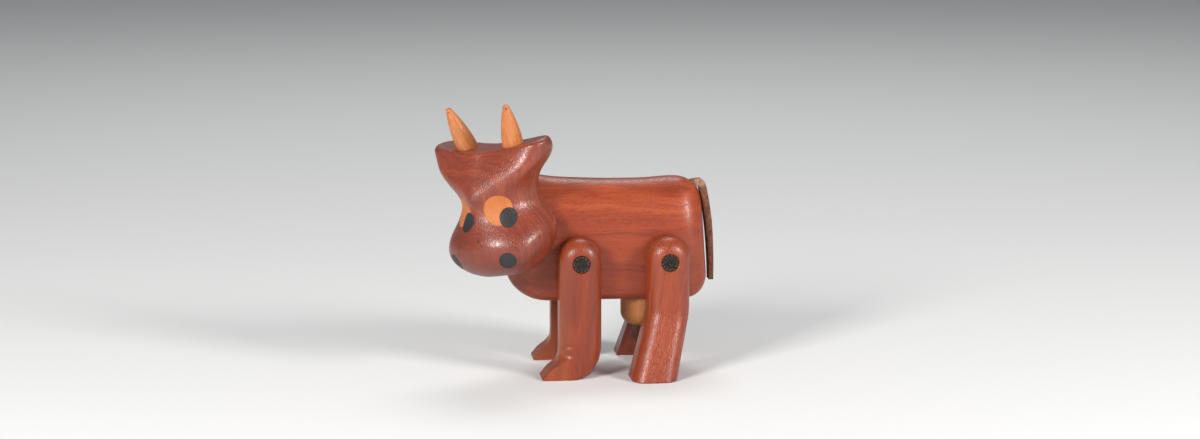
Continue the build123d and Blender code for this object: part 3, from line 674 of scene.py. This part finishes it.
def section():
    """The strip's cross-section as (place across in mm, face or place through it, turn of the corner)."""
    half = TAIL_WIDTH / 2
    flat = half - CORNER
    outline = [(share * flat, 1.0, 0.0) for share in ACROSS]
    outline += [(flat, 1.0, turn / 3) for turn in (1, 2)]
    outline += [(half, share, 1.0) for share in THROUGH]
    outline += [(flat, -1.0, turn / 3) for turn in (2, 1)]
    outline += [(share * flat, -1.0, 0.0) for share in reversed(ACROSS)]
    outline += [(-flat, -1.0, turn / 3) for turn in (1, 2)]
    outline += [(-half, share, 1.0) for share in reversed(THROUGH)]
    outline += [(-flat, 1.0, turn / 3) for turn in (2, 1)]
    return outline


def way_round(outline):
    """How far round the section each of its sides begins and ends (mm), from the middle of the face."""
    ends, total = [0.0], 0.0
    for a, b in zip(outline, outline[1:] + outline[:1]):
        total += max(0.25, abs(a[0] - b[0]) + 0.9 * abs(a[1] - b[1]) + 0.3 * abs(a[2] - b[2]))
        ends.append(total)
    middle = ends[ACROSS.index(0.0)]
    sides = []
    for low, high in zip(ends, ends[1:]):
        low, high = low - middle, high - middle
        if low > total / 2 - middle:
            low, high = low - total, high - total
        sides.append((low * MM, high * MM))
    return sides


def tail_strip():
    """One leather strip, rounded a little at its cut edges and creased at the bend."""
    dice = random.Random(5)
    line = tail_line()
    rings = len(line)
    reach = [0.0]
    for a, b in zip(line, line[1:]):
        reach.append(reach[-1] + (b - a).length)
    outline = section()
    count = len(outline)
    waves = [dice.uniform(-1, 1) for _ in range(rings)]
    waves = [sum(waves[max(0, i - 3):i + 4]) / 7 for i in range(rings)]
    half = TAIL_WIDTH / 2

    verts = []
    for index, place in enumerate(line):
        ahead = heading(line, index)
        outward = Vector((-ahead.z, 0, ahead.x))
        share = reach[index] / reach[-1]
        taper = TIP_LOSS * max(0.0, share - TAPER_FROM) / (1 - TAPER_FROM)
        thick = FACE_SHARE * TAIL_THICKNESS * (ROOT_SHARE - taper)
        bend = math.exp(-((reach[index] - BEND_AT) / BEND_REACH) ** 2)
        crease = CREASE_HEIGHT * bend * math.sin(reach[index] * CREASE_RATE)
        wave = EDGE_WAVE * waves[index] if share > WAVES_FROM else -ROOT_PINCH
        wide = 1 - BEND_PINCH * bend + wave
        for y, through, turn in outline:
            cup = HOLLOW * (1 - (y / half) ** 2) if share > HOLLOW_FROM else 0.0
            level = through * EDGE_SHARE * thick
            if abs(through) == 1.0:
                y += math.copysign(CORNER * math.sin(turn * QUARTER), y)
                sunk = CORNER_SINK * (1 - math.cos(turn * QUARTER))
                level = math.copysign(1 - sunk, through) * thick
            if through == 1.0:
                level += crease
            verts.append((place + outward * (level + cup) + Vector((0, y * wide, 0))) * MM
                         + Vector((0, MIDDLE_Y, 0)))

    sides = way_round(outline)
    faces, uvs = [], []
    for ring in range(rings - 1):
        along, on = reach[ring] * MM, reach[ring + 1] * MM
        for step, (low, high) in enumerate(sides):
            a, b = ring * count + step, ring * count + (step + 1) % count
            faces.append((a, a + count, b + count, b))
            uvs.append([(along, low), (on, low), (on, high), (along, high)])
    for ring, order in ((0, list(range(count))), (rings - 1, list(reversed(range(count))))):
        faces.append(tuple(ring * count + step for step in order))
        # The cut ends take a patch of suede of their own
        uvs.append([((reach[ring] + 0.1 * outline[step][1]) * MM, (3.5 + 0.1 * outline[step][0]) * MM)
                    for step in order])
    return new_piece("tail_strip", verts, faces, [leather()], uvs=uvs)


tail = tail_strip()
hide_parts("tail", "tail_root")
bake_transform(tail)


def plain(name, colour, rough, level):
    t = Tree(name)
    t.shader.inputs["Base Color"].default_value = (*colour, 1)
    t.shader.inputs["Specular IOR Level"].default_value = level
    t.shader.inputs["Roughness"].default_value = rough
    return t.material


def slab(name, centre, size, material):
    x, y, z = (s / 2 for s in size)
    corners = [Vector((a * x, b * y, c * z)) for a in (-1, 1) for b in (-1, 1) for c in (-1, 1)]
    faces = [(0, 1, 3, 2), (4, 6, 7, 5), (0, 4, 5, 1), (2, 3, 7, 6), (0, 2, 6, 4), (1, 5, 7, 3)]
    piece = new_piece(name, corners, faces, [material], smooth=False)
    piece.location = centre


FLOOR_SIZE, FLOOR_THICKNESS = 4.0, 0.02
slab("floor", (0, 0, -FLOOR_THICKNESS / 2), (FLOOR_SIZE, FLOOR_SIZE, FLOOR_THICKNESS),
     plain("floor_white", FLOOR, 0.85, 0.15))

# Soft light: place (m), size (m), power (W) and colour of each lamp, all aimed at the cow's middle
LAMP_AIM = Vector((0.0, 0.0, 0.045))
SOFTBOXES = {
    "left_softbox": ((-0.60, -0.70, 0.46), (0.26, 0.30), 9.1, (1.0, 0.985, 0.97)),
    "right_softbox": ((0.66, -0.62, 0.44), (0.26, 0.30), 7.2, (1.0, 0.985, 0.97)),
    "back_softbox": ((0.15, 0.75, 1.25), (0.6, 0.5), 6.0, (0.97, 0.985, 1.0)),
}
for name, (place, size, power, colour) in SOFTBOXES.items():
    data = bpy.data.lights.new(name, "AREA")
    data.shape = "RECTANGLE"
    data.size, data.size_y = size
    data.energy = power
    data.color = colour
    lamp = bpy.data.objects.new(name, data)
    lamp.location = place
    lamp.rotation_euler = (LAMP_AIM - Vector(place)).to_track_quat("-Z", "Y").to_euler()
    bpy.context.collection.objects.link(lamp)

world = bpy.data.worlds.new("studio")
bpy.context.scene.world = world
world.use_nodes = True
background = world.node_tree.nodes["Background"]
background.inputs["Color"].default_value = (*SKY, 1)
background.inputs["Strength"].default_value = 0.26

# The photo's camera: turned a little to the cow's rear and raised, at a distance in m, with the
# photo's scale and width in its own pixels
AZIMUTH, ELEVATION, RANGE = math.radians(-6.5), math.radians(9.1), 0.9
PIXELS_PER_MM, PHOTO_WIDTH = 2.917, 1200
SENSOR = 36.0
target = Vector((-0.00633 + FRONT_CORD_X + CORD_SPAN / 2, MIDDLE_Y, 0.0513))
look = Vector((-math.sin(AZIMUTH) * math.cos(ELEVATION), math.cos(AZIMUTH) * math.cos(ELEVATION),
               -math.sin(ELEVATION)))
camera_data = bpy.data.cameras.new("camera")
camera_data.sensor_fit = "HORIZONTAL"
camera_data.sensor_width = SENSOR
camera_data.lens = SENSOR * PIXELS_PER_MM * RANGE / MM / PHOTO_WIDTH
camera_data.clip_start = 0.01
camera = bpy.data.objects.new("camera", camera_data)
camera.location = target - RANGE * look
camera.rotation_euler = look.to_track_quat("-Z", "Y").to_euler()
bpy.context.collection.objects.link(camera)
bpy.context.scene.camera = camera
bpy.context.scene.view_settings.view_transform = "Standard"
